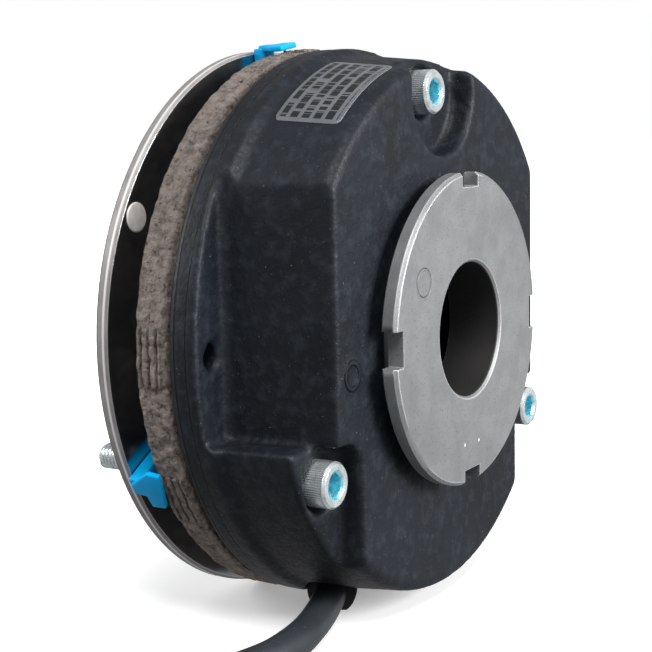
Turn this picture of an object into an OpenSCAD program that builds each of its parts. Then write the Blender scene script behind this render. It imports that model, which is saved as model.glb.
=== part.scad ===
// Spring-applied electromagnetic disc brake with a bolted flange, an adjuster ring and a two-core lead.
// The shaft axis runs along Y. The origin is on that axis, in the flange's mounting face, and the
// adjuster ring faces -Y. Every shape is drawn with its axis along Z and laid down at the end.

/* [Flange and fixing] */
// Outside diameter of the flange plate
flange_d = 108.4; // [80:0.1:160]
// Thickness of the flange plate
flange_t = 2.6; // [1.5:0.1:6]
// Diameter of the hole in the middle of the flange plate
flange_bore_d = 36; // [30:0.5:44]
// Diameter of the circle that the three screws stand on
screw_pcd = 90; // [84:0.5:100]
// Thread diameter of the screws
screw_d = 5; // [4:0.5:6]
// Diameter of the screws' reduced shank
shank_d = 4.5; // [3.5:0.1:5]
// Diameter of the screw heads
head_d = 8.4; // [7:0.1:10]
// Height of the screw heads
head_h = 5; // [4:0.1:7]
// Size of the hexagon socket across its flats
socket_af = 4; // [3:0.5:5]
// Length of screw that stands out behind the flange
screw_out = 12; // [6:0.5:25]
// How much further out of its counterbore the lower right screw stands
screw_lift = 2.2; // [0:0.1:4]
// Outside diameter of the threaded sleeves round the screws
sleeve_d = 7; // [6.5:0.1:8]
// Diameter of the rivets in the flange
rivet_d = 5.4; // [3:0.1:6]
// Radius that the rivets sit on
rivet_r = 50.3; // [40:0.1:51]

/* [Armature and rotor] */
// Gap between the flange and the armature plate
rotor_room = 6; // [5:0.1:12]
// Outside diameter of the armature plate
armature_d = 107.2; // [80:0.1:160]
// Thickness of the armature plate
armature_t = 6.2; // [4:0.1:10]
// Diameter of the hole in the armature plate
armature_bore_d = 34; // [31:0.5:38]
// Gap between the armature plate and the magnet, as delivered
air_gap = 1; // [0.2:0.1:2]
// Outside diameter of the rotor
rotor_d = 79; // [60:0.5:81]
// Thickness of each friction lining
lining_t = 1.6; // [1:0.1:3]
// Inside diameter of the friction linings
lining_bore_d = 48; // [40:0.5:60]
// Play between the rotor and the plate on each side of it
rotor_play = 0.3; // [0.2:0.05:0.5]

/* [Hub] */
// Bore of the hub
hub_bore_d = 15; // [11:1:18]
// Length of the hub
hub_len = 20; // [14:0.5:22]
// Tip diameter of the hub's teeth
hub_tip_d = 29; // [26:0.5:31]
// Root diameter of the hub's teeth
hub_root_d = 25.6; // [23:0.2:27]
// Number of teeth on the hub
hub_teeth = 16; // [10:1:24]
// Width of the keyway
key_w = 5; // [3:0.5:6]
// Height from the bottom of the bore to the bottom of the keyway
key_top = 17.3; // [12.8:0.1:20.3]

/* [Magnet housing] */
// Diameter of the rim next to the armature plate
rim_d = 107.6; // [80:0.1:160]
// Length of the magnet housing along the shaft
housing_len = 26; // [20:0.5:50]
// Length of the rim
rim_len = 7.8; // [5:0.1:10]
// Diameter of the body just behind the rim
body_front_d = 105; // [78:0.1:158]
// Diameter of the body at the back face
body_back_d = 101.2; // [76:0.1:156]
// Radius of the rounded back edge
back_edge_r = 1.6; // [0.5:0.1:3]
// Distance between the two side flats at the back face
flats_w = 82; // [70:0.5:96]
// Lean of the side flats from the shaft axis, in degrees
flat_draft = 7.5; // [0:0.5:12]
// Height of the lower end of the side flats, measured down from the shaft axis
flat_low = 15.5; // [8:0.5:17]
// Depth of the screw recesses in the back face
recess_depth = 4.8; // [2:0.1:8]
// Radius of the upper screw recess
recess_r = 12.1; // [8:0.1:14]
// Distance from the shaft axis to the inner wall of the lower recesses
recess_wall_x = 32.7; // [31.5:0.1:33.5]
// Diameter of the hand release holes
release_d = 4.8; // [3:0.1:6]
// Radius that the hand release holes sit on
release_r = 48.1; // [46:0.1:50]

/* [Coil] */
// Inside diameter of the coil groove
groove_in_d = 55; // [53:0.5:58]
// Outside diameter of the coil groove
groove_out_d = 79; // [70:0.5:81]
// Depth of the coil groove
groove_depth = 17; // [10:0.5:18]
// Wall thickness of the bobbin
bobbin_wall = 0.9; // [0.5:0.1:2]

/* [Adjuster and springs] */
// Outside diameter of the adjuster ring
ring_d = 60; // [50:0.5:64]
// Thickness of the adjuster ring's notched disc
ring_t = 3.1; // [2:0.1:5]
// Gap between the back face and the ring's notched disc
ring_gap = 2.2; // [1:0.1:4]
// Bore of the adjuster ring
ring_bore_d = 25.6; // [20:0.1:30]
// Thread diameter of the adjuster ring
ring_thread_d = 48; // [44:0.5:50]
// Length of the adjuster ring's thread
ring_thread_len = 8; // [4:0.1:8]
// Width of the hook spanner notches
notch_w = 6.6; // [4:0.1:9]
// Depth of the hook spanner notches
notch_depth = 2.9; // [2:0.1:4]
// Number of thrust springs
spring_count = 8; // [4:1:9]
// Wall between the thrust springs and the adjuster ring's thread
spring_wall = 0.5; // [0.4:0.1:2]
// Outside diameter of the thrust springs
spring_d = 5; // [3:0.1:5.6]
// Wire diameter of the thrust springs
spring_wire = 0.8; // [0.4:0.1:1]
// Length of the thrust pins behind the springs
pin_len = 8; // [6:0.5:10]

/* [Transport clips] */
// Thickness of the plate outside the brake
clip_plate_t = 1.1; // [0.8:0.1:3]
// Width of the clip's arm
clip_arm_w = 3.2; // [2.6:0.1:4]
// Thickness of the clip's arm
clip_arm_t = 2.8; // [1.5:0.1:4]
// How far the top clip has turned round its sleeve, in degrees
clip_turn = 8; // [0:1:10]

/* [Lead] */
// Diameter of the cable
cable_d = 6.2; // [5:0.1:7]
// Middle radius of the stored coil of cable
coil_r = 31; // [31:0.5:37]
// Outside diameter of the cable grommet
grommet_d = 8; // [7.6:0.1:9]
// Diameter of each insulated core
core_d = 1.9; // [1.2:0.1:2.5]

/* [Hidden] */
$fn = 96;
eps = 0.01;
cut = 1;                        // how far a cutting tool runs past a face
fit = 0.05;                     // radial running fit
slip = 0.2;                     // radial room round a sleeve or pin that a plate slides on
edge = 0.5;                     // chamfer on plate edges
screw_angles = [90, 210, 330];
rivet_angles = [32, 152, 272];
notch_angles = [0, 90, 180, 270];

armature_z = flange_t + rotor_room;
armature_top = armature_z + armature_t;
front_z = armature_top + air_gap;
back_z = front_z + housing_len;
rim_z = front_z + rim_len;
screw_r = screw_pcd / 2;
recess_z = back_z - recess_depth;
head_z = recess_z - 2;          // the heads sit 2 mm down in their counterbores
head_bore_d = head_d + 1.8;
screw_hole_d = screw_d + 0.5;
sleeve_end_z = front_z + 8;
chamber_z = back_z - ring_thread_len - 0.9;
ring_z = back_z + ring_gap;
ring_foot_z = ring_z - ring_thread_len;
hub_room_d = hub_tip_d + 4;
hub_z = 0.6;
groove_z = front_z + groove_depth;
rotor_z = flange_t + rotor_play;
rotor_t = rotor_room - 2 * rotor_play;
spring_hole_d = spring_d + 2 * slip;
floor_y = -flange_d / 2;        // level that the cable lies on
cable_r = cable_d / 2;
spring_pitch_r = (ring_thread_d - spring_d) / 2 - spring_wall;
sides = 10;                     // sides of the swept cable
exit_depth = 8.2;               // from the housing's front face to the middle of the cable's way out
exit_point = [-15, -front_z - exit_depth, -50.3]; // where the cable leaves the housing, laid down
exit_lean = 23.2;               // lean of the cable's way out, in degrees from -X towards -Y
collar_t = 2;                   // how far the grommet's collar stands out
collar_d = grommet_d + 1.6;
seat_len = 12;                  // length of grommet inside the housing
channel_len = 22;               // length of the way that is cut for the grommet and the cable
potting_t = 1.6;                // thickness of the resin over the coil
potting_gap = 0.4;              // how far the resin lies below the housing's face
mark_at = [-36, -3.6];          // middle of the round casting mark on the back face
mark_d = 5.4;
mark_h = 0.3;
ledge_gap = 4.6;                // from the housing's front face to the foot of the side flats
pad_h = 0.4;                    // how far the armature plate's pads stand out of its edge
pad_w = 10.5;
groove_w = 0.6;                 // width of the fine grooves round the pads
groove_step = 1.65;
label_t = 0.15;
spring_angles = [for (i = [0:spring_count - 1]) 360 * (i + 0.5) / spring_count];

// Route of the cable, in the laid-down frame: out of the grommet and along the floor to the coil.
cable_route = [
  exit_point - collar_t * [cos(exit_lean), sin(exit_lean), 0],
  [-20, -26.1, -50.6], [-26, -28.2, -51.1], [-32, -30.2, -51.1], [-38, -31.8, -51.1], [-43.5, -32.6, -51.1],
  [-49, -32.8, -51.1], [-54, -32, -51.1], [-59, -30.6, -51.1], [-63.5, -28.8, -51.1], [-68.1, -26.7, -51.1],
  [-72.6, -24.6, -51.1]
];
coil_centre = [-87, -55.5];     // middle of the stored coil of cable
// The last stretch, which spirals from the inner turn into the middle of the coil.
end_route = [
  [-76.1, -81.2, -51.1], [-70.2, -77, -51.1], [-66.2, -71.2, -51.1], [-64.4, -64.6, -51.1],
  [-64.3, -58.3, -51.1], [-65.3, -52.5, -51.1], [-67.2, -47.1, -51.1]
];
core_routes = [
  [[-67.2, -47.1, -50], [-69, -43, -51.5], [-73, -39.5, -53.2], [-78.5, -37.5, -53.2]],
  [[-67.2, -47.1, -52.2], [-70, -44, -53.2], [-75, -42, -53.2], [-81, -41.5, -53.2]]
];

function arc(cx, cy, r, a0, a1, n = 8) =
  [for (i = [0:n]) let(a = a0 + (a1 - a0) * i / n) [cx + r * cos(a), cy + r * sin(a)]];
function body_r(z) =
  (body_front_d + (body_back_d - body_front_d) * (z - rim_z) / (back_z - rim_z)) / 2;
function unit(v) = v / norm(v);
function side_of(t) = unit(cross(t, [0, 0, 1]));
function tangent(pts, i) =
  unit(pts[min(i + 1, len(pts) - 1)] - pts[max(i - 1, 0)]);
function ring_at(p, t, r, n) =
  [for (k = [0:n - 1]) let(a = 360 * k / n, s = side_of(t))
    p + r * (cos(a) * s + sin(a) * cross(s, t))];
// Outline of a ring of straight-sided teeth, grown by a clearance.
function toothed(root_r, tip_r, n, grow) =
  [for (i = [0:n - 1], k = [0:3])
    let(pitch = 360 / n, share = [-0.32, -0.17, 0.17, 0.32][k], r = (k == 0 || k == 3) ? root_r : tip_r,
        turn = (k < 2 ? -1 : 1) * grow / tip_r * 57.3, a = pitch * (i + share) + turn)
    (r + grow) * [cos(a), sin(a)]];

module lay() {
  rotate([90, 0, 0]) children();
}

module at_angles(angles, r) {
  for (a = angles) rotate(a) translate([r, 0, 0]) children();
}

// A disc with both outer edges chamfered and a round hole.
module washer(d, bore, z0, t, c) {
  r = d / 2;
  rotate_extrude()
    polygon([[bore / 2, z0], [r - c, z0], [r, z0 + c], [r, z0 + t - c], [r - c, z0 + t], [bore / 2, z0 + t]]);
}

module tube_along(pts, r, n) {
  last = len(pts) - 1;
  rings = [for (i = [0:last]) each ring_at(pts[i], tangent(pts, i), r, n)];
  walls = [for (i = [0:last - 1], k = [0:n - 1])
    let(a = i * n + k, b = i * n + (k + 1) % n) each [[a, b, b + n], [a, b + n, a + n]]];
  start_cap = [for (k = [n - 1:-1:0]) k];
  end_cap = [for (k = [0:n - 1]) last * n + k];
  polyhedron(rings, concat([start_cap], walls, [end_cap]));
}

// ---- fixed pieces -------------------------------------------------------------------------------

module flange_plate() {
  color("#c9ccd0") lay() difference() {
    washer(flange_d, flange_bore_d, 0, flange_t, edge);
    at_angles(screw_angles, screw_r) translate([0, 0, -cut])
      cylinder(d = screw_hole_d, h = flange_t + 2 * cut);
    at_angles(rivet_angles, rivet_r) translate([0, 0, -cut]) cylinder(d = rivet_d, h = flange_t + 2 * cut);
  }
}

module flange_rivets() {
  color("#b8b4b1") lay() at_angles(rivet_angles, rivet_r) cylinder(d = rivet_d, h = flange_t + 0.2);
}

module socket_screw(lift) {
  r = head_d / 2;
  c = 0.5;
  foot = head_z + lift;
  tip = lift - screw_out;
  difference() {
    union() {
      rotate_extrude()
        polygon([[0, foot], [r - c, foot], [r, foot + c], [r, foot + head_h - c], [r - c, foot + head_h],
                 [0, foot + head_h]]);
      cylinder(d = shank_d, h = foot + eps);
      translate([0, 0, tip + c]) cylinder(d = screw_d, h = -tip - c);
      translate([0, 0, tip]) cylinder(d1 = screw_d - 2 * c, d2 = screw_d, h = c);
    }
    translate([0, 0, foot + head_h / 2]) cylinder(d = socket_af / cos(30), h = head_h, $fn = 6);
  }
}

module socket_screws() {
  color("#c4d0d8") lay() for (a = screw_angles)
    rotate(a) translate([screw_r, 0, 0]) socket_screw(a == screw_angles[2] ? screw_lift : 0);
}

module sleeve_bolts() {
  color("#7d8084") lay() at_angles(screw_angles, screw_r) translate([0, 0, flange_t]) difference() {
    cylinder(d = sleeve_d, h = sleeve_end_z - flange_t);
    translate([0, 0, -cut]) cylinder(d = screw_hole_d, h = sleeve_end_z - flange_t + 2 * cut);
  }
}

module housing_blank() {
  r = rim_d / 2;
  back_r = body_back_d / 2;
  rotate_extrude()
    polygon(concat(
      [[0, front_z], [r - edge, front_z], [r, front_z + edge], [r, front_z + 1.2], [r - 0.5, front_z + 1.3],
       [r - 0.5, front_z + 1.6], [r, front_z + 1.7], [r, front_z + 3.6], [r - 0.3, front_z + 3.7],
       [r - 0.3, front_z + 3.9], [r, front_z + 4], [r, rim_z - 1], [body_r(rim_z) + 0.4, rim_z - 0.1],
       [body_r(rim_z + 0.6), rim_z + 0.6], [body_r(back_z - back_edge_r), back_z - back_edge_r]],
      arc(back_r - back_edge_r, back_z - back_edge_r, back_edge_r, 10, 90, 6),
      [[0, back_z]]));
}

// One side flat: a leaning slab whose foot makes the sloping ledge behind the rim.
module side_flat() {
  ledge_z = front_z + ledge_gap;
  foot_x = flats_w / 2 + (back_z - ledge_z) * tan(flat_draft);
  translate([foot_x, -flat_low, ledge_z]) rotate([0, -flat_draft, 0])
    cube([rim_d / 4, rim_d / 2, housing_len + cut]);
}

module lower_recess() {
  r = 5;
  reach = rim_d;
  translate([recess_wall_x + r, -flat_low - reach, 0]) square([reach, reach]);
  translate([recess_wall_x, -flat_low - r - reach, 0]) square([reach, reach]);
  translate([recess_wall_x + r, -flat_low - r, 0]) circle(r);
}

module upper_recess() {
  translate([0, screw_r]) circle(recess_r);
  translate([-recess_r, screw_r]) square([2 * recess_r, rim_d]);
}

module recesses() {
  translate([0, 0, recess_z]) linear_extrude(recess_depth + cut) {
    upper_recess();
    lower_recess();
    mirror([1, 0]) lower_recess();
  }
}

// The grommet's seat: a slanting round channel in the underside of the housing.
module cable_channel(d, len, from = 0) {
  translate([exit_point[0], exit_point[2], -exit_point[1]]) rotate([0, 90 + exit_lean, 0])
    translate([0, 0, from]) cylinder(d = d, h = len);
}

module magnet_housing() {
  color("#33373d") lay() difference() {
    union() {
      housing_blank();
      translate([mark_at[0], mark_at[1], back_z]) difference() {
        cylinder(d = mark_d, h = mark_h);
        translate([0, 0, -cut]) cylinder(d = mark_d - 1.6, h = 3 * cut);
      }
    }
    side_flat();
    mirror([1, 0, 0]) side_flat();
    recesses();
    at_angles(screw_angles, screw_r) {
      translate([0, 0, front_z - cut]) cylinder(d = screw_hole_d, h = housing_len + 2 * cut);
      translate([0, 0, front_z - cut]) cylinder(d = sleeve_d, h = sleeve_end_z - front_z + cut);
      translate([0, 0, head_z]) cylinder(d = head_bore_d, h = housing_len);
    }
    at_angles([0, 180], release_r) translate([0, 0, front_z - cut]) cylinder(d = release_d, h = housing_len);
    translate([0, 0, front_z - cut]) difference() {
      cylinder(d = groove_out_d, h = groove_depth + cut);
      translate([0, 0, -cut]) cylinder(d = groove_in_d, h = groove_depth + 3 * cut);
    }
    translate([0, 0, front_z - cut]) cylinder(d = hub_room_d, h = hub_len - front_z + hub_z + 2 + cut);
    translate([0, 0, front_z]) cylinder(d = ring_bore_d + 1.2, h = housing_len);
    translate([0, 0, chamber_z]) cylinder(d = ring_thread_d, h = housing_len);
    at_angles(spring_angles, spring_pitch_r)
      translate([0, 0, front_z - cut]) cylinder(d = spring_hole_d, h = chamber_z - front_z + 2 * cut);
    cable_channel(grommet_d, channel_len);
    cable_channel(collar_d, grommet_d, -grommet_d);
  }
}

// A thin plate wrapped on the upper left of the body.
module type_label() {
  z0 = rim_z + 1.6;
  z1 = z0 + 13;
  color("#b9bcc0") lay() rotate(104) rotate_extrude(angle = 26)
    polygon([[body_r(z0), z0], [body_r(z0) + label_t, z0], [body_r(z1) + label_t, z1], [body_r(z1), z1]]);
}

module coil_bobbin() {
  in_r = groove_in_d / 2;
  out_r = groove_out_d / 2;
  z0 = front_z + potting_gap + potting_t;
  w = bobbin_wall;
  color("#2b2b2b") lay() rotate_extrude()
    polygon([[in_r, z0], [out_r, z0], [out_r, z0 + w], [in_r + w, z0 + w], [in_r + w, groove_z - w],
             [out_r, groove_z - w], [out_r, groove_z], [in_r, groove_z]]);
}

module coil_winding() {
  in_r = groove_in_d / 2 + bobbin_wall;
  z0 = front_z + potting_gap + potting_t + bobbin_wall;
  color("#a8642a") lay() translate([0, 0, z0]) difference() {
    cylinder(d = groove_out_d - 1.6, h = groove_z - bobbin_wall - z0);
    translate([0, 0, -cut]) cylinder(r = in_r, h = groove_depth + 2 * cut);
  }
}

module coil_potting() {
  color("#26292c") lay() translate([0, 0, front_z + potting_gap]) difference() {
    cylinder(d = groove_out_d, h = potting_t);
    translate([0, 0, -cut]) cylinder(d = groove_in_d, h = potting_t + 2 * cut);
  }
}

// ---- adjuster -----------------------------------------------------------------------------------

// A closed coil spring's outer shape: a tube with its wire's thickness.
module thrust_springs() {
  len = ring_foot_z - pin_len - armature_top;
  color("#8d9196") lay() at_angles(spring_angles, spring_pitch_r)
    translate([0, 0, armature_top]) difference() {
      cylinder(d = spring_d, h = len);
      translate([0, 0, -cut]) cylinder(d = spring_d - 2 * spring_wire, h = len + 2 * cut);
    }
}

module thrust_pins() {
  color("#9ea2a6") lay() at_angles(spring_angles, spring_pitch_r)
    translate([0, 0, ring_foot_z - pin_len]) cylinder(d = spring_d, h = pin_len);
}

module adjuster_ring() {
  r = ring_d / 2;
  c = 0.6;
  bore_r = ring_bore_d / 2;
  thread_r = ring_thread_d / 2 - fit;
  top = ring_z + ring_t;
  color("#b4b2af") lay() difference() {
    rotate_extrude()
      polygon([[bore_r, ring_foot_z], [thread_r - c, ring_foot_z], [thread_r, ring_foot_z + c],
               [thread_r, ring_z], [r - 0.4, ring_z], [r, ring_z + 0.4], [r, top - c], [r - c, top],
               [bore_r + c, top], [bore_r, top - c]]);
    for (a = notch_angles) rotate(a) translate([r - notch_depth, -notch_w / 2, ring_z - cut])
      cube([notch_depth + cut, notch_w, ring_t + 2 * cut]);
  }
}

// ---- armature and rotor -------------------------------------------------------------------------

// Three fine grooves run round the plate's edge on the pads at the sleeves and the release holes.
module pad_sector(r, z, h) {
  intersection() {
    translate([0, 0, z]) cylinder(r = r, h = h);
    translate([r - pad_w / 2, -pad_w / 2, z - cut]) cube([pad_w, pad_w, h + 2 * cut]);
  }
}

module armature_plate() {
  pad_r = armature_d / 2 + pad_h;
  groove_r = pad_r - 0.9;
  pads = [0, 90, 180, 210, 330];
  color("#8a7f78") lay() difference() {
    union() {
      washer(armature_d, armature_bore_d, armature_z, armature_t, 0.4);
      for (a = pads) rotate(a) pad_sector(pad_r, armature_z + 0.6, armature_t - 1.2);
    }
    for (a = pads, k = [0:2]) rotate(a) difference() {
      pad_sector(pad_r + cut, armature_z + 1.2 + groove_step * k, groove_w);
      translate([0, 0, armature_z]) cylinder(r = groove_r, h = armature_t);
    }
    at_angles(screw_angles, screw_r) translate([0, 0, armature_z - cut])
      cylinder(d = sleeve_d + 2 * slip, h = armature_t + 2 * cut);
    at_angles([0, 180], release_r) translate([0, 0, armature_z - cut])
      cylinder(d = release_d - 0.9, h = armature_t + 2 * cut);
  }
}

module rotor_carrier() {
  z0 = rotor_z + lining_t;
  color("#c3c6c9") lay() difference() {
    union() {
      translate([0, 0, z0]) cylinder(d = rotor_d, h = rotor_t - 2 * lining_t);
      translate([0, 0, rotor_z]) cylinder(d = lining_bore_d - 4, h = rotor_t);
    }
    translate([0, 0, rotor_z - cut]) linear_extrude(rotor_t + 2 * cut)
      polygon(toothed(hub_root_d / 2, hub_tip_d / 2, hub_teeth, fit));
  }
}

module friction_lining(z0) {
  slots = 8;
  slot_depth = 0.5;
  face = z0 < rotor_z + eps ? z0 - cut : z0 + lining_t - slot_depth;
  color("#6f6258") lay() difference() {
    translate([0, 0, z0]) cylinder(d = rotor_d, h = lining_t);
    translate([0, 0, z0 - cut]) cylinder(d = lining_bore_d, h = lining_t + 2 * cut);
    for (i = [0:slots - 1]) rotate(360 * i / slots) translate([lining_bore_d / 2 - cut, -0.75, face])
      cube([rotor_d, 1.5, slot_depth + cut]);
  }
}

module friction_lining_flange() {
  friction_lining(rotor_z);
}

module friction_lining_armature() {
  friction_lining(rotor_z + rotor_t - lining_t);
}

module hub() {
  color("#a9adb1") lay() translate([0, 0, hub_z]) difference() {
    linear_extrude(hub_len) polygon(toothed(hub_root_d / 2, hub_tip_d / 2, hub_teeth, 0));
    translate([0, 0, -cut]) cylinder(d = hub_bore_d, h = hub_len + 2 * cut);
    translate([-key_w / 2, 0, -cut]) cube([key_w, key_top - hub_bore_d / 2, hub_len + 2 * cut]);
  }
}

// ---- transport clips ----------------------------------------------------------------------------

// A hook that slides along the sleeve's side next to the flange, with a winged plate outside the rim
// to pull it by. Drawn at the angle of a screw, pointing out along X; the plate's outline is in (Y, Z).
module transport_clip(flip, turn = 0, out = 0) {
  plate_in = armature_d / 2 + 0.7;
  gap = 0.15;
  wing = [[-4, 3.3], [-7.4, 8.2], [-7, 10.8], [0.9, 9.2], [0.9, 6.2], [-1.6, 5.9], [-2, 3.3]];
  slot = sleeve_d / 2 + 0.1;
  leg = 3;                      // how far the hook's leg reaches past the sleeve's middle
  leg_t = 1.4;
  translate([screw_r + out, 0, 0]) rotate(turn) mirror([0, flip ? 1 : 0, 0]) {
    translate([plate_in - screw_r, 0, 0]) rotate([90, 0, 90]) linear_extrude(clip_plate_t) polygon(wing);
    difference() {
      translate([-leg, -slot - leg_t, flange_t + gap])
        cube([plate_in - screw_r + leg + clip_plate_t / 2, clip_arm_w, clip_arm_t]);
      cylinder(r = slot, h = armature_z);
      translate([-2 * leg, -slot, 0]) cube([2 * leg, 2 * slot, armature_z]);
    }
  }
}

module transport_clip_top() {
  color("#1a9fdb") lay() rotate(screw_angles[0]) transport_clip(true, clip_turn, 0.3);
}

module transport_clip_left() {
  color("#1a9fdb") lay() rotate(screw_angles[1]) transport_clip(false);
}

module transport_clip_right() {
  color("#1a9fdb") lay() rotate(screw_angles[2]) transport_clip(false);
}

// ---- lead ---------------------------------------------------------------------------------------

module cable_grommet() {
  color("#222428") lay() intersection() {
    union() {
      cable_channel(grommet_d, seat_len);
      cable_channel(collar_d, collar_t, -collar_t);
    }
    translate([-rim_d / 2, floor_y, 0]) cube([rim_d, rim_d / 4, back_z]);
  }
}

module cable() {
  color("#3a3c3f") tube_along(cable_route, cable_r, sides);
}

module cable_coil() {
  w = 2 * cable_d;
  c = 1.6;
  in_r = coil_r - cable_d;
  color("#3a3c3f") translate([coil_centre[0], coil_centre[1], -51.1 - cable_r])
    rotate_extrude()
      polygon([[in_r + c, 0], [in_r + w - c, 0], [in_r + w, c], [in_r + w, cable_d - c],
               [in_r + w - c, cable_d], [in_r + c, cable_d], [in_r, cable_d - c], [in_r, c]]);
}

module cable_end() {
  color("#3a3c3f") tube_along(end_route, cable_r, sides);
}

module core_brown() {
  color("#6b4226") tube_along(core_routes[0], core_d / 2, 8);
}

module core_blue() {
  color("#2f5fa8") tube_along(core_routes[1], core_d / 2, 8);
}

module core_ferrules() {
  len = 7;
  color("#d8d8d4") for (route = core_routes) {
    tip = route[len(route) - 1];
    way = unit(tip - route[len(route) - 2]);
    translate(tip) rotate([-90, 0, atan2(way[1], way[0]) - 90]) cylinder(d = core_d, h = len);
  }
}

flange_plate();
flange_rivets();
socket_screws();
sleeve_bolts();
magnet_housing();
type_label();
coil_bobbin();
coil_winding();
coil_potting();
thrust_springs();
thrust_pins();
adjuster_ring();
armature_plate();
rotor_carrier();
friction_lining_flange();
friction_lining_armature();
hub();
transport_clip_top();
transport_clip_left();
transport_clip_right();
cable_grommet();
cable();
cable_coil();
cable_end();
core_brown();
core_blue();
core_ferrules();
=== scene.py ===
"""Studio scene of a spring-applied electromagnetic disc brake as it is delivered.

The shaft axis runs along Y, the mounting face is at y = 0 and the adjuster ring faces -Y. Each
sub-assembly is one class: its fields are its sizes in millimetres and its methods build and dress it.
"""

import logging
import math
from dataclasses import dataclass
from enum import Enum
from typing import Iterable, Optional, Sequence

import bmesh
import bpy
from mathutils import Matrix, Vector, noise


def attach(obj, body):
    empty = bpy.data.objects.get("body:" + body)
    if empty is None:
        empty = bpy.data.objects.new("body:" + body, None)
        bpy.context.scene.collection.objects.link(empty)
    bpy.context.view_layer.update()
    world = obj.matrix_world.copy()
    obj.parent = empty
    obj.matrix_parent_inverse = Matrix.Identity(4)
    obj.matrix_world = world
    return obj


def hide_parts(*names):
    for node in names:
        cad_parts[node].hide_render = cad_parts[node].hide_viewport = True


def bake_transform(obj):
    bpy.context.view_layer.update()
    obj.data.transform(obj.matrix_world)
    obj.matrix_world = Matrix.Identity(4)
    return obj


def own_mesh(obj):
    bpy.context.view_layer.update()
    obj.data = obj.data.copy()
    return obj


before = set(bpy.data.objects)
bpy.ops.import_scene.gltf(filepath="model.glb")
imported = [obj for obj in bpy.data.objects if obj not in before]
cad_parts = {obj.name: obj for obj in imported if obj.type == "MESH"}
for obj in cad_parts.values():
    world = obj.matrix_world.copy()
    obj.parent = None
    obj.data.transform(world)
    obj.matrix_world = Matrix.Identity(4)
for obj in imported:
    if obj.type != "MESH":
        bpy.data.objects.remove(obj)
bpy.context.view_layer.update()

log = logging.getLogger("brake")
MM = 0.001
MM_PER_M = 1000
LAY = Matrix.Rotation(math.pi / 2, 4, "X")  # turns a shape with its axis along Z to face -Y
SCREW_ANGLES = (90.0, 210.0, 330.0)


# ---- small helpers ------------------------------------------------------------------------------


def linear(code: str) -> tuple[float, float, float, float]:
    """Turns an sRGB hex value into linear colour.

    Args:
        code: Six hex digits.

    Returns:
        Red, green, blue and an alpha of 1.
    """
    parts = [int(code[i : i + 2], 16) / 255 for i in (0, 2, 4)]
    flat = [c / 12.92 if c <= 0.04045 else ((c + 0.055) / 1.055) ** 2.4 for c in parts]
    return (flat[0], flat[1], flat[2], 1.0)


def add_node(tree: bpy.types.NodeTree, kind: str, values: dict,
             links: Optional[dict] = None) -> bpy.types.Node:
    """Adds a shader node with its settings and its links.

    Args:
        tree: Tree that the node goes into.
        kind: Node type without its ShaderNode prefix.
        values: Settings and input values, by attribute name or by input name or number.
        links: Output sockets that feed this node's inputs, by input name or number.

    Returns:
        The new node.
    """
    node = tree.nodes.new("ShaderNode" + kind)
    for key, value in values.items():
        if isinstance(key, str) and hasattr(node, key):
            setattr(node, key, value)
        else:
            node.inputs[key].default_value = value
    for key, socket in (links or {}).items():
        tree.links.new(socket, node.inputs[key])
    return node


def radial(angle: float, shape: Matrix = Matrix()) -> Matrix:
    """Turns a shape drawn beside the shaft to its angle and lays it down.

    Args:
        angle: Angle round the shaft in degrees.
        shape: Place of the shape before it is turned.

    Returns:
        The matrix to give the mesh.
    """
    return LAY @ Matrix.Rotation(math.radians(angle), 4, "Z") @ shape


def finish_piece(name: str, bm: bmesh.types.BMesh, finish: "Finish", body: Optional[str],
                 nodes: Iterable[str], crease: float = 35.0,
                 extra: Sequence["Finish"] = ()) -> bpy.types.Object:
    """Makes a named object from a bmesh, dresses it and fastens it to its body.

    Args:
        name: Piece name.
        bm: The shape in metres, in the row frame; it is freed.
        finish: Finish that the piece takes.
        body: CAD body that it rides on, or None for a piece that rides on no body.
        nodes: CAD nodes that it stands for.
        crease: Angle in degrees above which an edge stays sharp.
        extra: Further finishes, for faces whose material index is 1 and up.

    Returns:
        The object.
    """
    bmesh.ops.recalc_face_normals(bm, faces=bm.faces)
    mesh = bpy.data.meshes.new(name)
    bm.to_mesh(mesh)
    bm.free()
    mesh.polygons.foreach_set("use_smooth", [True] * len(mesh.polygons))
    mesh.set_sharp_from_angle(angle=math.radians(crease))
    for each in (finish, *extra):
        mesh.materials.append(each.material())
    piece = bpy.data.objects.new(name, mesh)
    bpy.context.scene.collection.objects.link(piece)
    if body:
        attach(piece, body)
    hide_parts(*nodes)
    log.info("%s: %d faces, on %s", name, len(mesh.polygons), body)
    return piece


def merged(node: str) -> bmesh.types.BMesh:
    """Copies a CAD node with its loose triangles merged into plain faces.

    Args:
        node: CAD node name.

    Returns:
        A bmesh with n-gons on flat faces and quads round curved ones.
    """
    bm = bmesh.new()
    bm.from_mesh(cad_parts[node].data)
    bmesh.ops.remove_doubles(bm, verts=bm.verts, dist=2e-6)
    bmesh.ops.dissolve_limit(bm, angle_limit=math.radians(0.3), verts=bm.verts, edges=bm.edges)
    return bm


def soften(bm: bmesh.types.BMesh, width: float, sharper: float = 30.0, segments: int = 3) -> None:
    """Rounds a mesh's sharp edges.

    Args:
        bm: Mesh to change.
        width: Width of the rounding in millimetres.
        sharper: Edges that turn by more degrees than this are rounded.
        segments: Faces across each rounding.
    """
    edges = [e for e in bm.edges if len(e.link_faces) == 2 and e.calc_face_angle(0) > math.radians(sharper)]
    bmesh.ops.bevel(bm, geom=edges, offset=width * MM, offset_type="OFFSET", segments=segments, profile=0.5,
                    affect="EDGES", clamp_overlap=True, material=-1)


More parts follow.
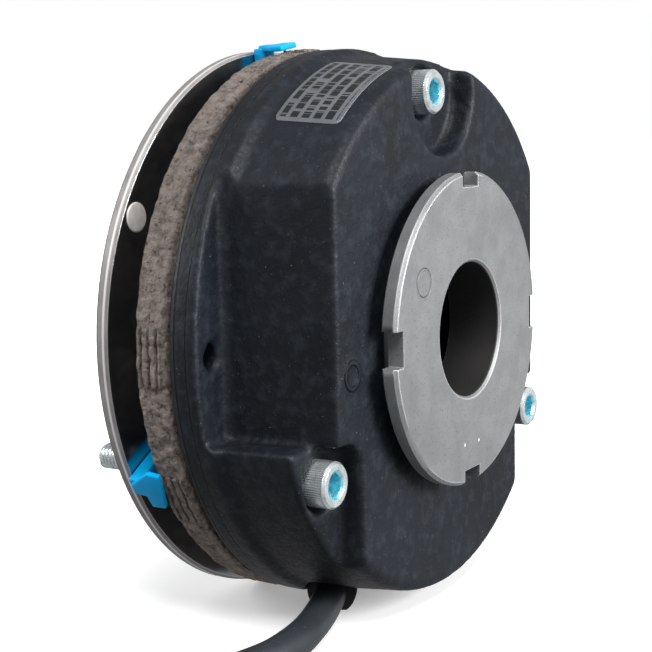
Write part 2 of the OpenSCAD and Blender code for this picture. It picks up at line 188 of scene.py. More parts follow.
def turned(profile: Sequence[tuple[float, float]], steps: int = 96,
           close: bool = True) -> bmesh.types.BMesh:
    """Spins a profile of (radius, height) points in millimetres round Z.

    Args:
        profile: The points in order.
        steps: Faces round the axis.
        close: Whether the profile's last point joins its first.

    Returns:
        The spun shape in metres.
    """
    bm = bmesh.new()
    verts = [bm.verts.new((r * MM, 0, z * MM)) for r, z in profile]
    pairs = list(zip(verts, verts[1:])) + ([(verts[-1], verts[0])] if close else [])
    edges = [bm.edges.new(p) for p in pairs]
    bmesh.ops.spin(bm, geom=verts + edges, cent=(0, 0, 0), axis=(0, 0, 1), dvec=(0, 0, 0),
                   angle=2 * math.pi, steps=steps, use_merge=True, use_duplicate=False)
    bmesh.ops.remove_doubles(bm, verts=bm.verts, dist=1e-6)
    return bm


def add_mesh(bm: bmesh.types.BMesh, part: bmesh.types.BMesh, matrix: Matrix) -> None:
    """Adds a placed copy of one shape to another.

    Args:
        bm: Shape that grows.
        part: Shape that is copied.
        matrix: Place of the copy.
    """
    mesh = bpy.data.meshes.new("part")
    part.to_mesh(mesh)
    mesh.transform(matrix)
    if matrix.determinant() < 0:
        mesh.flip_normals()
    bm.from_mesh(mesh)
    bpy.data.meshes.remove(mesh)


# ---- finishes -----------------------------------------------------------------------------------

Socket = bpy.types.NodeSocket
LABEL_R = 51.5  # mean radius of the cone under the label


class Pattern(Enum):
    """Marks that a finish carries on top of its grain."""

    NONE = "none"
    TURNED = "rings left by a lathe tool round the shaft axis"
    ROLLED = "long fine lines left by a rolling mill"
    SHEARED = "torn outer line and bright band of a sheared edge"
    CUT = "streaks across a cut edge"
    THREAD = "fine thread"
    WIRE = "turns of wire"
    CASTING = "casting with two rim grooves and a round mark on its back"
    PRESSED = "pressed disc with a round ejector mark"
    PRINT = "rows of small printing"


class Surface:
    """A material's node tree while it is built, with its relief and its colour so far."""

    def __init__(self, tree: bpy.types.NodeTree) -> None:
        """Reads the object coordinates and the distance from the shaft axis.

        Args:
            tree: Tree to add to.
        """
        self.tree = tree
        self.place = add_node(tree, "TexCoord", {}).outputs["Object"]
        axes = add_node(tree, "SeparateXYZ", {}, {0: self.place}).outputs
        self.x, self.y, self.z = axes["X"], axes["Y"], axes["Z"]
        self.radius = self.distance(0.0, 0.0)
        self.relief: Optional[Socket] = None
        self.colour: Optional[Socket] = None

    def maths(self, operation: str, *terms: object) -> Socket:
        """Adds one Math node.

        Args:
            operation: The node's operation.
            terms: Its inputs in order, each a number or a socket.

        Returns:
            Its value.
        """
        numbers = {i: t for i, t in enumerate(terms) if isinstance(t, (int, float))}
        sockets = {i: t for i, t in enumerate(terms) if not isinstance(t, (int, float))}
        return add_node(self.tree, "Math", {"operation": operation, **numbers}, sockets).outputs["Value"]

    def product(self, *masks: Socket) -> Socket:
        """Multiplies masks."""
        result = masks[0]
        for mask in masks[1:]:
            result = self.maths("MULTIPLY", result, mask)
        return result

    def distance(self, x: float, z: float) -> Socket:
        """Measures the distance across the shaft from a point given in millimetres."""
        dx = self.maths("SUBTRACT", self.x, x * MM)
        dz = self.maths("SUBTRACT", self.z, z * MM)
        squares = self.maths("MULTIPLY", dx, dx), self.maths("MULTIPLY", dz, dz)
        return self.maths("SQRT", self.maths("ADD", *squares))

    def off(self, value: Socket, level: float) -> Socket:
        """Measures how far a length is from a level given in millimetres."""
        return self.maths("ABSOLUTE", self.maths("SUBTRACT", value, level * MM))

    def under(self, value: Socket, limit: float) -> Socket:
        """Masks where a length is under a limit given in millimetres."""
        return self.maths("LESS_THAN", value, limit * MM)

    def over(self, value: Socket, limit: float) -> Socket:
        """Masks where a length is over a limit given in millimetres."""
        return self.maths("GREATER_THAN", value, limit * MM)

    def ramp(self, value: Socket, low: float, high: float, top: float = 1.0, bottom: float = 0.0) -> Socket:
        """Maps a value between two ends.

        Args:
            value: Value to map.
            low: Value that gives the bottom.
            high: Value that gives the top.
            top: Result at the high end.
            bottom: Result at the low end.

        Returns:
            The result.
        """
        ends = {"From Min": low, "From Max": high, "To Min": bottom, "To Max": top}
        return add_node(self.tree, "MapRange", ends, {"Value": value}).outputs["Result"]

    def noise(self, scale: float, detail: float, roughness: float = 0.5,
              place: Optional[Socket] = None) -> Socket:
        """Adds a noise texture.

        Args:
            scale: Its scale over the place that it is read at.
            detail: Its octaves.
            roughness: Strength of the finer octaves.
            place: Where it is read, or None for the object coordinates.

        Returns:
            Its strength.
        """
        values = {"Scale": scale, "Detail": detail, "Roughness": roughness}
        where = self.place if place is None else place
        return add_node(self.tree, "TexNoise", values, {"Vector": where}).outputs["Fac"]

    def stretched(self, scale: tuple[float, float, float]) -> Socket:
        """Stretches the object coordinates, for streaks."""
        return add_node(self.tree, "Mapping", {"Scale": scale}, {"Vector": self.place}).outputs["Vector"]

    def blend(self, mask: Socket, first: object, second: object) -> Socket:
        """Mixes two colours, each a hex value or a socket.

        Args:
            mask: Share of the second colour.
            first: Colour where the mask is 0.
            second: Colour where the mask is 1.

        Returns:
            The mixed colour.
        """
        mix = add_node(self.tree, "Mix", {"data_type": "RGBA"}, {0: mask})
        for slot, value in ((6, first), (7, second)):
            if isinstance(value, str):
                mix.inputs[slot].default_value = linear(value)
            else:
                self.tree.links.new(value, mix.inputs[slot])
        return mix.outputs[2]

    def paint(self, mask: Socket, colour: str) -> None:
        """Lays a colour over the one so far, as far as the mask says."""
        self.colour = self.blend(mask, self.colour, colour)

    def raise_by(self, mask: Socket, height: float) -> None:
        """Adds a mask to the relief at a height counted in grains."""
        self.relief = self.maths("MULTIPLY_ADD", mask, height, self.relief)

    def ridges(self, value: Socket, pitch: float, height: float) -> None:
        """Adds even ridges along a length, with their pitch in millimetres."""
        self.raise_by(self.maths("SINE", self.maths("MULTIPLY", value, 2 * math.pi / (pitch * MM))), height)

    def rolled(self) -> None:
        """Adds fine level lines."""
        lines = self.noise(1.0, 3.0, place=self.stretched((60, 60, 2600)))
        self.relief = self.maths("ADD", self.relief, lines)

    def sheared(self) -> None:
        """Adds a burnished band painted bright as a highlight, and a dark torn line, along the edge."""
        burnish_highlight_y, torn = -1.9, (-0.75, -0.45)
        # Burnished band, painted near-white as a highlight.
        self.paint(self.ramp(self.off(self.y, burnish_highlight_y), 0.32 * MM, 0.12 * MM, 0.8), "e4e3e1")
        self.paint(self.ramp(self.y, torn[0] * MM, torn[1] * MM), "26282b")

    def cut(self) -> None:
        """Adds lumps, pits and dark streaks, and paints shade into the three fine grooves."""
        streaks = self.noise(1.0, 5.0, 0.7, self.stretched((900, 300, 900)))
        lumps = self.noise(650.0, 6.0, 0.7)
        self.relief = self.maths("ADD", self.relief, streaks)
        self.raise_by(lumps, 6.0)
        self.paint(self.ramp(lumps, 0.52, 0.66, 0.8), "a89f99")
        self.paint(self.ramp(lumps, 0.48, 0.34, 0.85), "3f3733")
        self.paint(self.ramp(streaks, 0.5, 0.72, 0.6), "453d39")
        groove_r, middle_y, half = (52.9, 53.35), -11.7, 2.3
        groove_shade_band = self.product(self.under(self.radius, groove_r[1]), self.over(self.radius, groove_r[0]))
        # Painted shade: the fine grooves are darkened in colour only.
        self.paint(self.product(groove_shade_band, self.under(self.off(self.y, middle_y), half)), "2b1f1a")

    def pressed(self) -> None:
        """Adds a round ejector mark, two bright dots and painted shade on the bore's wall."""
        mark_at, mark_r, bore_r = (-19.2, 10.7), 2.6, 12.95
        dots, dot_r = ((-3.2, -22.0), (2.9, -22.2)), 0.32
        mark = self.ramp(self.off(self.distance(*mark_at), mark_r), 0.35 * MM, 0.15 * MM)
        self.paint(self.maths("MULTIPLY", mark, 0.5), "77756f")
        for dot in dots:
            self.paint(self.under(self.distance(*dot), dot_r), "f4f4f2")
        # Painted shade: the bore's wall is darkened.
        self.paint(self.under(self.radius, bore_r), "3b3a39")
        self.raise_by(mark, -8.0)

    def casting(self) -> None:
        """Adds lumps and dust, the round mark on the back and the two grooves in the rim, with painted
        shade in the grooves.
        """
        mark_at, mark_r, back_y = (-36.0, -3.6), 2.3, -41.2
        rim_r, grooves = 53.0, ((-17.25, 0.22), (-19.6, 0.16))
        lumps = self.noise(420.0, 4.0)
        self.raise_by(lumps, 4.0)
        self.paint(self.ramp(lumps, 0.5, 0.7, 0.35), "30373f")
        mark = self.ramp(self.off(self.distance(*mark_at), mark_r), 0.6 * MM, 0.3 * MM)
        self.raise_by(self.product(mark, self.under(self.y, back_y)), 9.0)
        rim = self.over(self.radius, rim_r)
        for level, half in grooves:
            line = self.product(self.ramp(self.off(self.y, level), half * MM, 0.5 * half * MM), rim)
            self.raise_by(line, -12.0)
            # Painted shade: each groove is coloured near-black as well as sunk.
            self.paint(line, "050506")

    def printed(self) -> None:
        """Draws rows of small dark bars that stand for printing, wrapped round the body."""
        row_pitch, gap, letter_w, row_shift = 2.3, 0.17, 0.85, 7.3
        sides, ends = (94.6, 115.6), (26.0, 37.4)
        along = self.maths("MULTIPLY", self.maths("ARCTAN2", self.z, self.x), LABEL_R)
        across = self.maths("MULTIPLY", self.y, -MM_PER_M)
        row = self.maths("DIVIDE", across, row_pitch)
        shift = self.maths("MULTIPLY", self.maths("FLOOR", row), row_shift)
        spot = add_node(self.tree, "CombineXYZ", {}, {0: self.maths("MULTIPLY", along, letter_w), 1: shift})
        words = self.noise(1.0, 3.0, 0.8, spot.outputs[0])
        ink = self.product(
            self.maths("GREATER_THAN", self.maths("PINGPONG", row, 0.5), gap),
            self.maths("GREATER_THAN", words, 0.45),
            self.maths("GREATER_THAN", along, sides[0]),
            self.maths("LESS_THAN", along, sides[1]),
            self.maths("GREATER_THAN", across, ends[0]),
            self.maths("LESS_THAN", across, ends[1]),
        )
        self.paint(ink, "1d1e20")

    def draw(self, pattern: Pattern) -> None:
        """Adds a pattern to the relief and the colour.

        Args:
            pattern: Pattern to add.
        """
        ridged = {Pattern.TURNED: (self.radius, 0.35, 0.3), Pattern.THREAD: (self.y, 0.8, 3.0),
                  Pattern.WIRE: (self.y, 0.7, 3.0)}
        drawn = {Pattern.ROLLED: self.rolled, Pattern.SHEARED: self.sheared, Pattern.CUT: self.cut,
                 Pattern.CASTING: self.casting, Pattern.PRESSED: self.pressed, Pattern.PRINT: self.printed}
        if pattern in ridged:
            self.ridges(*ridged[pattern])
        elif pattern in drawn:
            drawn[pattern]()


@dataclass(frozen=True)
class Finish:
    """One surface finish as a procedural material.

    Grain is the fine relief, patches are slow changes of tone, and edge wear with a painted highlight
    lightens the edges.
    """

    name: str
    slot: str
    colour: str
    tone: str
    metallic: float = 0.0
    roughness: float = 0.5
    spread: float = 0.1
    patch_mm: float = 9.0
    grain_mm: float = 0.5
    relief_mm: float = 0.02
    edge_wear_and_highlight: str = ""
    edge_wear_and_highlight_share: float = 0.5
    edge_mm: float = 0.35
    speck: str = ""
    speck_mm: float = 0.7
    speck_level: float = 0.66
    pattern: Pattern = Pattern.NONE
    shine: float = 0.5

    def material(self) -> bpy.types.Material:
        """Returns the finish's material, made the first time it is asked for."""
        found = bpy.data.materials.get(self.name)
        return found if found else self._make()

    def _make(self) -> bpy.types.Material:
        """Builds the node tree.

        Returns:
            The new material.
        """
        material = bpy.data.materials.new(self.name)
        material.use_nodes = True
        tree = material.node_tree
        shader = tree.nodes["Principled BSDF"]
        surface = Surface(tree)
        patch = surface.ramp(surface.noise(MM_PER_M / self.patch_mm, 3.0), 0.35, 0.65)
        grain = surface.noise(MM_PER_M / self.grain_mm, 4.0, 0.6)
        surface.relief = grain
        surface.colour = surface.blend(patch, self.colour, self.tone)
        if self.speck:
            dots = surface.noise(MM_PER_M / self.speck_mm, 1.0)
            surface.paint(surface.ramp(dots, self.speck_level, self.speck_level + 0.05), self.speck)
        soft = add_node(tree, "Bevel", {"samples": 4, "Radius": self.edge_mm * MM}).outputs["Normal"]
        # Rounded edges take a lighter colour: partly wear, partly a painted highlight.
        if self.edge_wear_and_highlight:
            flat = add_node(tree, "NewGeometry", {}).outputs["Normal"]
            turn = add_node(tree, "VectorMath", {"operation": "DOT_PRODUCT"}, {0: soft, 1: flat})
            edge = surface.ramp(turn.outputs["Value"], 0.995, 0.9, self.edge_wear_and_highlight_share)
            edge_wear_and_highlight_mask = add_node(tree, "Math", {"operation": "ADD", "use_clamp": True},
                            {0: surface.product(edge, patch), 1: edge})
            surface.paint(edge_wear_and_highlight_mask.outputs["Value"], self.edge_wear_and_highlight)
        surface.draw(self.pattern)
        bump = add_node(tree, "Bump", {"Strength": 1.0, "Distance": self.relief_mm * MM},
                        {"Height": surface.relief, "Normal": soft})
        smoothest = max(0.03, self.roughness - self.spread)
        roughest = min(1.0, self.roughness + self.spread)
        tree.links.new(surface.colour, shader.inputs["Base Color"])
        tree.links.new(surface.ramp(grain, 0.3, 0.7, roughest, smoothest), shader.inputs["Roughness"])
        tree.links.new(bump.outputs["Normal"], shader.inputs["Normal"])
        shader.inputs["Metallic"].default_value = self.metallic
        shader.inputs["Specular IOR Level"].default_value = self.shine
        return material


# Cold-rolled steel sheet, degreased: a mirror-like skin that shows soft, stretched reflections.
FLANGE_STEEL = Finish("cold_rolled_steel_sheet", "flange_steel", "aeb2b6", "999da2", 1.0, 0.2, 0.06, 14,
                      0.4, 0.004, "e8eaec", 0.6, 0.25, pattern=Pattern.ROLLED)
# The same sheet where the punch sheared it: duller grey with a burnished band and a dark torn line.
FLANGE_EDGE = Finish("sheared_steel_edge", "flange_steel", "93908f", "837f7e", 0.35, 0.5, 0.1, 3, 0.35,
                     0.02, "dcdcda", 0.5, 0.25, pattern=Pattern.SHEARED)
# Steel rivets under dull zinc: pale, nearly matt discs.
RIVET_ZINC = Finish("dull_zinc_rivet", "rivet_zinc", "eee8e5", "dfd9d6", 0.2, 0.55, 0.08, 1.5, 0.25,
                    0.01, "ece8e4", 0.4, 0.3)
# Blue-passivated zinc inside the sockets, where the film is thick: a clear turquoise gleam.
SOCKET_ZINC = Finish("deep_blue_zinc_plate", "screw_zinc", "93dbe6", "5fb4c8", 0.6, 0.22, 0.06, 0.9,
                     0.3, 0.004)
# Blue-passivated zinc on the screws: bright silver with a cool cast, brightest on the knurls, where wear
# and a painted highlight lighten the edges.
SCREW_ZINC = Finish("blue_zinc_plate", "screw_zinc", "e6ecee", "c3cdd0", 0.7, 0.24, 0.07, 1.6, 0.3,
                    0.006, "f7f9f9", 0.5, 0.2)
# Oiled steel sleeves with a rolled thread: dark grey with narrow highlights.
DARK_STEEL = Finish("oiled_steel", "dark_steel", "77797c", "5d5f62", 1.0, 0.38, 0.1, 3, 0.3, 0.03,
                    "b4b6b8", 0.4, 0.25, pattern=Pattern.THREAD)
# Cast iron under a thin black coat: near-black, low sheen, dusty patches, pale specks.
BLACK_CASTING = Finish("black_coated_casting", "black_casting", "161a21", "101318", 0.0, 0.5, 0.1, 16,
                       0.55, 0.06, "2b3138", 0.6, 0.4, "59616a", 0.4, 0.75, Pattern.CASTING, 0.22)
# Aluminium foil label, matt, with black print: mid grey beside the black coat.
LABEL_FOIL = Finish("matt_silver_foil", "label_foil", "6c6f73", "606368", 0.4, 0.45, 0.06, 6, 0.3,
                    0.003, "b0b3b6", 0.3, 0.2, pattern=Pattern.PRINT)
# Glass-filled nylon of the bobbin: black, faintly mottled by the fibres.
BLACK_NYLON = Finish("glass_filled_nylon", "black_nylon", "26272a", "1e1f21", 0.0, 0.5, 0.1, 4, 0.3,
                     0.012, "3c3e41", 0.3)
# Enamelled copper wire: orange-brown turns, each with its own highlight.
COPPER_WIRE = Finish("enamelled_copper_wire", "copper_wire", "a65a2a", "8c4520", 0.85, 0.28, 0.06, 5,
                     0.6, 0.06, pattern=Pattern.WIRE)
# Cast epoxy resin over the coil: dark and glossy, with slow waves.
POTTING_RESIN = Finish("cast_epoxy_resin", "potting_resin", "1f2226", "292c31", 0.0, 0.25, 0.12, 9, 0.9,
                       0.02)
# Drawn spring wire: bright grey lines of light along each turn.
SPRING_STEEL = Finish("bright_spring_wire", "spring_steel", "8d9095", "7a7d82", 1.0, 0.3, 0.08, 2, 0.25,
                      0.006)
# Ground steel pins: clean, light grey and smooth.
PIN_STEEL = Finish("ground_steel", "pin_steel", "a2a5a9", "8f9296", 1.0, 0.25, 0.06, 2, 0.2, 0.004,
                   "d0d2d4", 0.4)
# Pressed and sintered steel under zinc: satin grey, finely grained, with bright chamfers lightened by wear
# and a painted highlight.
SINTERED_STEEL = Finish("zinc_plated_sintered_steel", "sintered_steel", "8d8f90", "828486", 0.6, 0.5,
                        0.09, 5, 0.28, 0.03, "dcdddd", 0.7, 0.35, "747677", 0.4, 0.64, Pattern.PRESSED)
# Nitrided steel with a rough flame-cut edge: warm grey-brown, pitted and lumpy.
ARMATURE_STEEL = Finish("rough_cut_nitrided_steel", "armature_steel", "9e9189", "80756e", 0.2, 0.6, 0.1,
                        3, 0.5, 0.45, "a39a94", 0.3, 0.4, "443c38", 0.8, 0.66, Pattern.CUT)
# Die-cast aluminium of the rotor: light grey with fine lathe rings on its faces.
CAST_ALUMINIUM = Finish("die_cast_aluminium", "cast_aluminium", "b6b9bc", "a3a6a9", 1.0, 0.42, 0.08, 8,
                        0.4, 0.02, "d9dbdd", 0.5, pattern=Pattern.TURNED)
# Pressed friction compound: dull brown-grey with pale fibres and chips.
FRICTION = Finish("pressed_friction_compound", "friction_material", "6b5f55", "544a42", 0.0, 0.85, 0.06,
                  3, 0.35, 0.05, speck="9a8b72", speck_mm=0.9, speck_level=0.64)
# Hobbed and turned steel hub: clean machined grey with fine rings.
HUB_STEEL = Finish("machined_steel", "hub_steel", "a4a7ab", "92959a", 1.0, 0.3, 0.08, 4, 0.3, 0.01,
                   "d4d6d8", 0.5, pattern=Pattern.TURNED)
# Blue moulded polypropylene clips: a strong flat blue with soft highlights.
BLUE_PLASTIC = Finish("blue_moulded_polypropylene", "blue_plastic", "00a2e0", "0098d4", 0.0, 0.42, 0.06,
                      4, 0.4, 0.012, "1fb0e4", 0.35, 0.4, shine=0.12)
# Moulded rubber grommet: matt black, no highlights to speak of.
BLACK_RUBBER = Finish("moulded_rubber", "black_rubber", "1b1c1f", "151618", 0.0, 0.7, 0.08, 3, 0.3,
                      0.015, "2c2e31", 0.3, shine=0.25)
# Grey PVC cable jacket: charcoal with one long soft highlight along it.
CABLE_JACKET = Finish("grey_pvc_jacket", "cable_jacket", "2b2e33", "24272b", 0.0, 0.4, 0.08, 7, 0.35,
                      0.01, speck="3e4247", speck_mm=0.6, speck_level=0.7, shine=0.4)
# Brown PVC insulation of the first core: smooth and slightly glossy.
BROWN_CORE = Finish("brown_pvc_insulation", "core_brown_pvc", "6b4226", "5c3820", 0.0, 0.4, 0.06, 2,
                    0.25, 0.006)
# Blue PVC insulation of the second core: smooth and slightly glossy.
BLUE_CORE = Finish("blue_pvc_insulation", "core_blue_pvc", "2f5fa8", "28539a", 0.0, 0.4, 0.06, 2, 0.25,
                   0.006)
# Tinned copper ferrules: bright, warm silver.
TINNED_COPPER = Finish("tinned_copper", "tinned_copper", "cdccc8", "b9b8b4", 1.0, 0.3, 0.06, 1.5, 0.25,
                       0.01, "efeeea", 0.5)


# ---- studio -------------------------------------------------------------------------------------


@dataclass
class Studio:
    """Camera, pale floor and soft lights; lengths in millimetres, angles in degrees."""

    azimuth: float = -58.169
    elevation: float = 8.085
    roll: float = -1.264
    target: tuple[float, float, float] = (115.521, 57.326, -20.548)
    distance: float = 423.234
    lens: float = 77.65
    floor_z: float = -54.25
    fade: tuple[float, float] = (120.0, 450.0)
    glow: tuple[float, float] = (0.3, 1.0)

    def place_camera(self) -> None:
        """Makes the camera and gives it to the scene."""
        a, e, roll = (math.radians(v) for v in (self.azimuth, self.elevation, self.roll))
        back = Vector((math.sin(a) * math.cos(e), -math.cos(a) * math.cos(e), math.sin(e)))
        level = Vector((math.cos(a), math.sin(a), 0))
        up = back.cross(level)
        right = level * math.cos(roll) + up * math.sin(roll)
        top = up * math.cos(roll) - level * math.sin(roll)
        data = bpy.data.cameras.new("camera")
        data.lens = self.lens
        data.sensor_width = 36.0
        data.clip_start = 0.01
        camera = bpy.data.objects.new("camera", data)
        turn = Matrix((right, top, back)).transposed().to_4x4()
        camera.matrix_world = Matrix.Translation((Vector(self.target) + back * self.distance) * MM) @ turn
        bpy.context.scene.collection.objects.link(camera)
        bpy.context.scene.camera = camera

    def lay_floor(self) -> None:
        """Lays a pale floor under the brake that glows, faintly near the brake and fully far off."""
        bm = bmesh.new()
        bmesh.ops.create_grid(bm, x_segments=1, y_segments=1, size=6.0)
        bmesh.ops.translate(bm, verts=bm.verts, vec=(0, 0, self.floor_z * MM))
        mesh = bpy.data.meshes.new("floor")
        bm.to_mesh(mesh)
        bm.free()
        glowing_floor_material = bpy.data.materials.new("glowing_white_floor")
        glowing_floor_material.use_nodes = True
        tree = glowing_floor_material.node_tree
        shader = tree.nodes["Principled BSDF"]
        place = add_node(tree, "TexCoord", {}).outputs["Object"]
        # Painted light: the floor glows, more strongly with distance from the brake.
        away = add_node(tree, "VectorMath", {"operation": "LENGTH"}, {0: place}).outputs["Value"]
        ends = {"From Min": self.fade[0] * MM, "From Max": self.fade[1] * MM, "To Min": self.glow[0],
                "To Max": self.glow[1]}
        glow = add_node(tree, "MapRange", ends, {"Value": away})
        shader.inputs["Base Color"].default_value = (0.93, 0.93, 0.93, 1)
        shader.inputs["Roughness"].default_value = 0.9
        shader.inputs["Specular IOR Level"].default_value = 0.1
        shader.inputs["Emission Color"].default_value = (1, 1, 1, 1)
        tree.links.new(glow.outputs["Result"], shader.inputs["Emission Strength"])
        mesh.materials.append(glowing_floor_material)
        floor = bpy.data.objects.new("floor", mesh)
        floor.visible_glossy = False
        floor.visible_diffuse = False
        bpy.context.scene.collection.objects.link(floor)

    def add_light(self, name: str, place: tuple[float, float, float], aim: tuple[float, float, float],
                  size: float, power: float) -> None:
        """Adds a square soft light.

        Args:
            name: Light name.
            place: Its place in metres.
            aim: Point that it faces.
            size: Side length in metres.
            power: Power in watts.
        """
        data = bpy.data.lights.new(name, "AREA")
        data.size = size
        data.energy = power
        lamp = bpy.data.objects.new(name, data)
        way = Vector(place) - Vector(aim)
        lamp.matrix_world = Matrix.Translation(place) @ way.to_track_quat("Z", "Y").to_matrix().to_4x4()
        bpy.context.scene.collection.objects.link(lamp)

    def light(self) -> None:
        """Lights the scene with a white surround and three soft boxes."""
        world = bpy.data.worlds.new("surround")
        world.use_nodes = True
        background = world.node_tree.nodes["Background"]
        seen = add_node(world.node_tree, "LightPath", {}).outputs["Is Camera Ray"]
        strength = add_node(world.node_tree, "MapRange", {"To Min": 0.4, "To Max": 1.0}, {"Value": seen})
        background.inputs["Color"].default_value = (1, 1, 1, 1)
        world.node_tree.links.new(strength.outputs["Result"], background.inputs["Strength"])
        bpy.context.scene.world = world
        self.add_light("key", (-0.5, -0.35, 0.8), (0, -0.02, 0), 0.4, 8.5)
        self.add_light("front", (0.15, -0.9, 0.3), (0, -0.02, 0), 0.4, 14.0)
        self.add_light("back", (-0.35, 0.75, 0.35), (0, 0, 0), 0.3, 4.0)
        bpy.context.scene.view_settings.view_transform = "Standard"


# ---- lead ---------------------------------------------------------------------------------------


@dataclass
class Lead:
    """The cable from its grommet to its bare cores; lengths in millimetres."""

    diameter: float = 6.2
    lean: float = 23.2
    collar: float = 2.0
    seat: tuple[float, float, float] = (-15.0, -24.0, -50.3)
    level: float = -51.1
    centre: tuple[float, float] = (-87.0, -55.5)
    outer_turn: float = 34.1
    inner_turn: float = 27.9
    coil_from: float = 65.0
    coil_sweep: float = 588.0
    coil_points: int = 49
    step_from: float = 293.0
    step_sweep: float = 132.0
    core_diameter: float = 1.9

    def route(self) -> list[Vector]:
        """The cable's centreline.

        Returns:
            Points in millimetres from the grommet's face to the end of the jacket.
        """
        lean = math.radians(self.lean)
        x, y, z = self.seat
        start = Vector((x - self.collar * math.cos(lean), y - self.collar * math.sin(lean), z))
        level = self.level
        free = [(-20, -26.1, -50.6), (-26, -28.2, level), (-32, -30.2, level), (-38, -31.8, level),
                (-43.5, -32.6, level), (-49, -32.8, level), (-54, -32, level), (-59, -30.6, level),
                (-63.5, -28.8, level), (-68.1, -26.7, level)]
        coil = []
        for k in range(self.coil_points):
            angle = self.coil_from + self.coil_sweep * k / self.coil_points
            share = min(max((angle - self.step_from) / self.step_sweep, 0), 1)
            r = self.outer_turn + (self.inner_turn - self.outer_turn) * share * share * (3 - 2 * share)
            a = math.radians(angle)
            coil.append((self.centre[0] + r * math.cos(a), self.centre[1] + r * math.sin(a), level))
        end = [(-76.1, -81.2, level), (-70.2, -77, level), (-66.2, -71.2, level), (-64.4, -64.6, level),
               (-64.3, -58.3, level), (-65.3, -52.5, level), (-67.2, -47.1, level)]
        return [start] + [Vector(p) for p in free + coil + end]

    def smooth(self, points: list[Vector], parts: int = 4) -> list[Vector]:
        """Rounds a route off with a curve through its points.

        Args:
            points: The route.
            parts: New stretches between two points.

        Returns:
            The finer route.
        """
        ends = [points[0] * 2 - points[1]] + points + [points[-1] * 2 - points[-2]]
        fine = []
        for a, b, c, d in zip(ends, ends[1:], ends[2:], ends[3:]):
            for k in range(parts):
                t = k / parts
                fine.append(0.5 * (2 * b + (c - a) * t + (2 * a - 5 * b + 4 * c - d) * t * t
                                   + (3 * b - a - 3 * c + d) * t ** 3))
        return fine + [points[-1]]

    def tube(self, name: str, points: list[Vector], diameter: float, finish: Finish,
             nodes: Sequence[str]) -> bpy.types.Object:
        """Makes a round tube along points.

        Args:
            name: Piece name.
            points: Centreline in millimetres.
            diameter: Diameter in millimetres.
            finish: Its finish.
            nodes: CAD nodes that it stands for.

        Returns:
            The tube as a curve.
        """
        data = bpy.data.curves.new(name, "CURVE")
        data.dimensions = "3D"
        data.bevel_depth = diameter / 2 * MM
        data.bevel_resolution = 5
        data.use_fill_caps = True
        spline = data.splines.new("POLY")
        spline.points.add(len(points) - 1)
        for point, place in zip(spline.points, points):
            point.co = (*(place * MM), 1)
        spline.use_smooth = True
        data.materials.append(finish.material())
        piece = bpy.data.objects.new(name, data)
        bpy.context.scene.collection.objects.link(piece)
        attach(piece, "brake")
        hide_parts(*nodes)
        log.info("%s: %d points", name, len(points))
        return piece

    def build(self) -> None:
        """Makes the cable, its cores, their ferrules and the grommet."""
        line = self.smooth(self.route())
        cable = self.tube("lead_cable", line, self.diameter, CABLE_JACKET,
                          ("cable", "cable_coil", "cable_end"))
        tails = [[(-67.2, -47.1, -50), (-69, -43, -51.5), (-73, -39.5, -53.2), (-78.5, -37.5, -53.2)],
                 [(-67.2, -47.1, -52.2), (-70, -44, -53.2), (-75, -42, -53.2), (-81, -41.5, -53.2)]]
        for name, tail, finish in zip(("core_brown", "core_blue"), tails, (BROWN_CORE, BLUE_CORE)):
            route = self.smooth([Vector(p) for p in tail], 6)
            self.tube("insulated_" + name, route, self.core_diameter, finish, (name,))
        ferrules = finish_piece("wire_ferrules", merged("core_ferrules"), TINNED_COPPER, "brake",
                                ("core_ferrules",))
        grommet = merged("cable_grommet")
        soften(grommet, 0.5)
        grommet = finish_piece("lead_grommet", grommet, BLACK_RUBBER, "brake", ("cable_grommet",))


# ---- brake --------------------------------------------------------------------------------------


